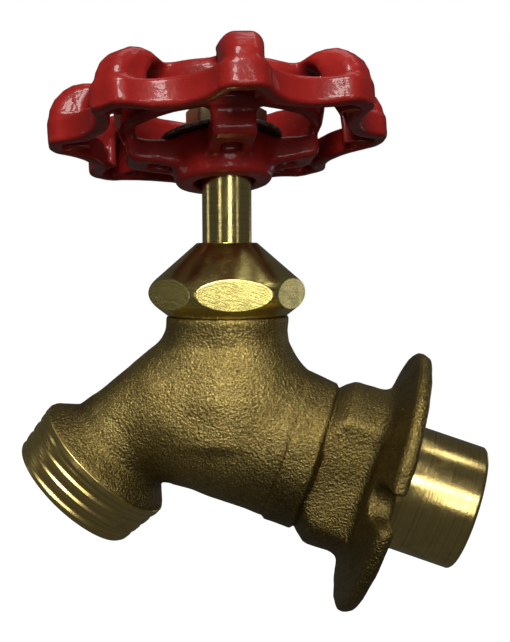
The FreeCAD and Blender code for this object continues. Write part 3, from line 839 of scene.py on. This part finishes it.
def red_paint():
    n = Net("red_enamel_dipped")
    peel = n.noise(0.75, 2.0, 0.45)
    speck = n.noise(2.6, 4.0, 0.6)
    big = n.noise(0.10, 3.0, 0.5)
    geo = n.node("ShaderNodeNewGeometry")
    # painted shade and painted highlight: the red is darkened in creases and hollows and lightened towards pink on
    # sharp ridges, driven by pointiness
    painted_shade_and_highlight_mask = n.levels(geo.outputs["Pointiness"], 0.42, 0.58, 0.0, 1.0)
    base = n.ramp(big, [(0.30, (0.185, 0.008, 0.007)), (0.55, (0.255, 0.012, 0.010)), (0.75, (0.320, 0.018, 0.014))])
    edge = n.ramp(painted_shade_and_highlight_mask, [(0.0, (0.55, 0.50, 0.52)), (0.45, (1.0, 1.0, 1.0)), (1.0, (1.22, 1.35, 1.30))])
    col = n.mix(1.0, base, edge, "MULTIPLY")
    fleck = n.levels(speck, 0.62, 0.74, 0.0, 0.30)
    col = n.mix(fleck, col, (0.13, 0.006, 0.010))
    nb = n.bump(peel, 0.00016, 0.5)
    nb = n.bump(speck, 0.00007, 0.5, nb)
    nc = n.bump(peel, 0.00016, 0.5)
    return n.put(color=col, metal=0.0, rough=n.levels(speck, 0.3, 0.7, 0.30, 0.42), spec=0.15, coat=0.34, coat_rough=0.07, normal=nb, coat_normal=nc)


def dark_disc():
    n = Net("disc_dark_print")
    t, r, v = n.axis(W0, W)
    wear = n.noise(0.8, 4.0, 0.6)
    fine = n.noise(4.0, 3.0, 0.6)
    rim = n.levels(r, 9.9, 10.9, 0.0, 1.0)
    mask = n.math("MULTIPLY", rim, n.levels(wear, 0.42, 0.60, 0.1, 1.0))
    base = n.ramp(wear, [(0.30, (0.030, 0.018, 0.016)), (0.55, (0.062, 0.036, 0.032)), (0.75, (0.110, 0.066, 0.056))])
    col = n.mix(mask, base, (0.42, 0.37, 0.34))
    nb = n.bump(fine, 0.00004, 0.6)
    return n.put(color=col, metal=0.35, rough=n.levels(wear, 0.3, 0.7, 0.48, 0.34), normal=nb)


def rubber():
    n = Net("rubber_black")
    g = n.noise(2.2, 4.0, 0.6)
    col = n.ramp(g, [(0.3, (0.012, 0.012, 0.012)), (0.7, (0.040, 0.039, 0.037))])
    return n.put(color=col, metal=0.0, rough=n.levels(g, 0.3, 0.7, 0.75, 0.60), normal=n.bump(g, 0.00008, 0.6))


def packing():
    n = Net("packing_graphite")
    g = n.noise(1.4, 5.0, 0.65)
    col = n.ramp(g, [(0.3, (0.035, 0.033, 0.030)), (0.7, (0.115, 0.108, 0.098))])
    return n.put(color=col, metal=0.1, rough=n.levels(g, 0.3, 0.7, 0.62, 0.45), normal=n.bump(g, 0.00012, 0.7))


def give(ob, m):
    ob.data.materials.clear()
    ob.data.materials.append(m)


M_CAST = cast_brass()
M_NUT = machined("brass_packing_nut", S0, S, tone=(0.82, 0.70, 0.235), rough=0.20, lines=2.2, depth=0.000012, scratch=True)
M_STEM = machined("brass_stem", S0, S, tone=(0.78, 0.64, 0.25), rough=0.15, lines=3.2, depth=0.00002)
M_TAIL = machined("brass_tail", np.zeros(3), EX, tone=(0.76, 0.585, 0.215), rough=0.17, lines=2.4, depth=0.000012, dirt=0.3)
M_HOSE = machined("brass_hose_thread", G0, G, tone=(0.72, 0.56, 0.20), rough=0.27, lines=2.0, depth=0.000015, dirt=0.5)
M_CAP = machined("brass_handle_nut", S0, S, tone=(0.93, 0.82, 0.46), rough=0.34, lines=2.6, depth=0.00002)
M_RED = red_paint()
M_DISC = dark_disc()
M_RUB = rubber()
M_PACK = packing()
give(casting, M_CAST)
give(nut, M_NUT)
give(stem, M_STEM)
give(tail, M_TAIL)
give(thread, M_HOSE)
give(throat, M_HOSE)
give(hnut, M_CAP)
give(wheel, M_RED)
give(disc, M_DISC)
for name, m in (("packing_washer", M_STEM), ("packing_ring", M_PACK), ("gland_ring", M_STEM), ("seat_washer", M_RUB), ("seat_screw", M_STEM)):
    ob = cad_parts[name]
    for s in ob.material_slots:
        s.material = m
    if not ob.material_slots:
        print("no slot on", name)

# ------------------------------------------------------------------ camera, floor, light
cam_pos = Vector((-22.32, -183.9, 37.33)) * MM
cam_aim = Vector((-31.57, 0.0, 19.42)) * MM
right = Vector((0.9473, 0.0, 0.3205))
look = (cam_aim - cam_pos).normalized()
right = (right - look * right.dot(look)).normalized()
up = right.cross(look)
cd = bpy.data.cameras.new("photo_camera")
cam = bpy.data.objects.new("photo_camera", cd)
bpy.context.scene.collection.objects.link(cam)
cam.matrix_world = Matrix(((right.x, up.x, -look.x, cam_pos.x), (right.y, up.y, -look.y, cam_pos.y), (right.z, up.z, -look.z, cam_pos.z), (0, 0, 0, 1)))
cd.lens = 58.54
cd.sensor_width = 36.0
cd.clip_start = 0.005
cd.clip_end = 20.0
bpy.context.scene.camera = cam

floor_mesh = bpy.data.meshes.new("floor")
R = 4.0
floor_mesh.from_pydata([(-R, -R, 0), (R, -R, 0), (R, R, 0), (-R, R, 0)], [], [(0, 1, 2, 3)])
floor = bpy.data.objects.new("floor", floor_mesh)
floor.location = (0, 0, -0.105)
bpy.context.scene.collection.objects.link(floor)
fm = Net("floor_paper")
g = fm.noise(0.02, 2.0, 0.5)
fm.put(color=fm.ramp(g, [(0.3, (0.20, 0.20, 0.20)), (0.7, (0.22, 0.22, 0.22))]), rough=0.9, spec=0.1)
fm.bsdf.inputs["Emission Color"].default_value = (1, 1, 1, 1)
fm.bsdf.inputs["Emission Strength"].default_value = 0.99
give(floor, fm.m)
floor.visible_glossy = False
floor.visible_diffuse = False


def area(name, loc, aim, size, watts, color=(1, 1, 1), size_y=None):
    d = bpy.data.lights.new(name, "AREA")
    d.energy = watts
    d.color = color
    d.shape = "RECTANGLE" if size_y else "SQUARE"
    d.size = size
    if size_y:
        d.size_y = size_y
    o = bpy.data.objects.new(name, d)
    o.location = loc
    o.rotation_euler = (Vector(aim) - Vector(loc)).to_track_quat("-Z", "Y").to_euler()
    bpy.context.scene.collection.objects.link(o)
    return o


# The image's up is tilted from Z, so lights are placed by image directions: r right, u up, n towards the camera.
def place(r, u, n):
    p = cam_aim + right * r + up * u - look * n
    return tuple(p)


aim = tuple(cam_aim)
area("key", place(-0.04, 0.40, 0.40), aim, 0.20, 2.1, (1.0, 0.985, 0.95), 0.18)
area("front_a", place(-0.28, 0.07, 0.50), aim, 0.075, 0.10, (1.0, 0.985, 0.955), 0.20)
area("front_b", place(0.155, 0.0, 0.55), aim, 0.11, 0.22, (1.0, 0.985, 0.925), 0.17)
area("low_strip", np.array([0.100, -0.500, 0.285]), aim, 0.22, 0.42, (1.0, 0.985, 0.95), 0.12)
area("body_soft", place(-0.02, 0.23, 0.52), aim, 0.16, 1.15, (1.0, 0.985, 0.95), 0.12)
area("high_strip", place(0.352, 0.60, 0.0), aim, 0.14, 0.16, (1.0, 0.985, 0.95), 0.16)
area("left", place(-0.55, 0.02, -0.06), aim, 0.10, 0.035, (1.0, 0.98, 0.93), 0.12)
area("right", place(0.37, 0.0, -0.46), aim, 0.12, 0.04, (1.0, 0.98, 0.93), 0.12)
area("side", place(0.42, 0.05, 0.34), aim, 0.06, 0.035, (1.0, 0.98, 0.95), 0.20)
area("top", place(0.05, 0.60, -0.15), aim, 0.40, 0.5, (1.0, 0.99, 0.97), 0.30)

world = bpy.data.worlds.new("studio")
bpy.context.scene.world = world
world.use_nodes = True
wn = world.node_tree
wn.nodes.clear()
wo = wn.nodes.new("ShaderNodeOutputWorld")
mixs = wn.nodes.new("ShaderNodeMixShader")
lp = wn.nodes.new("ShaderNodeLightPath")
b1 = wn.nodes.new("ShaderNodeBackground")
b2 = wn.nodes.new("ShaderNodeBackground")
b1.inputs["Color"].default_value = (0.20, 0.195, 0.19, 1)
b1.inputs["Strength"].default_value = 0.30
b2.inputs["Color"].default_value = (1, 1, 1, 1)
b2.inputs["Strength"].default_value = 1.0
wn.links.new(lp.outputs["Is Camera Ray"], mixs.inputs[0])
wn.links.new(b1.outputs[0], mixs.inputs[1])
wn.links.new(b2.outputs[0], mixs.inputs[2])
wn.links.new(mixs.outputs[0], wo.inputs[0])

bpy.context.scene.view_settings.view_transform = "Standard"
bpy.context.scene.view_settings.look = "None"
bpy.context.scene.view_settings.exposure = 0.0
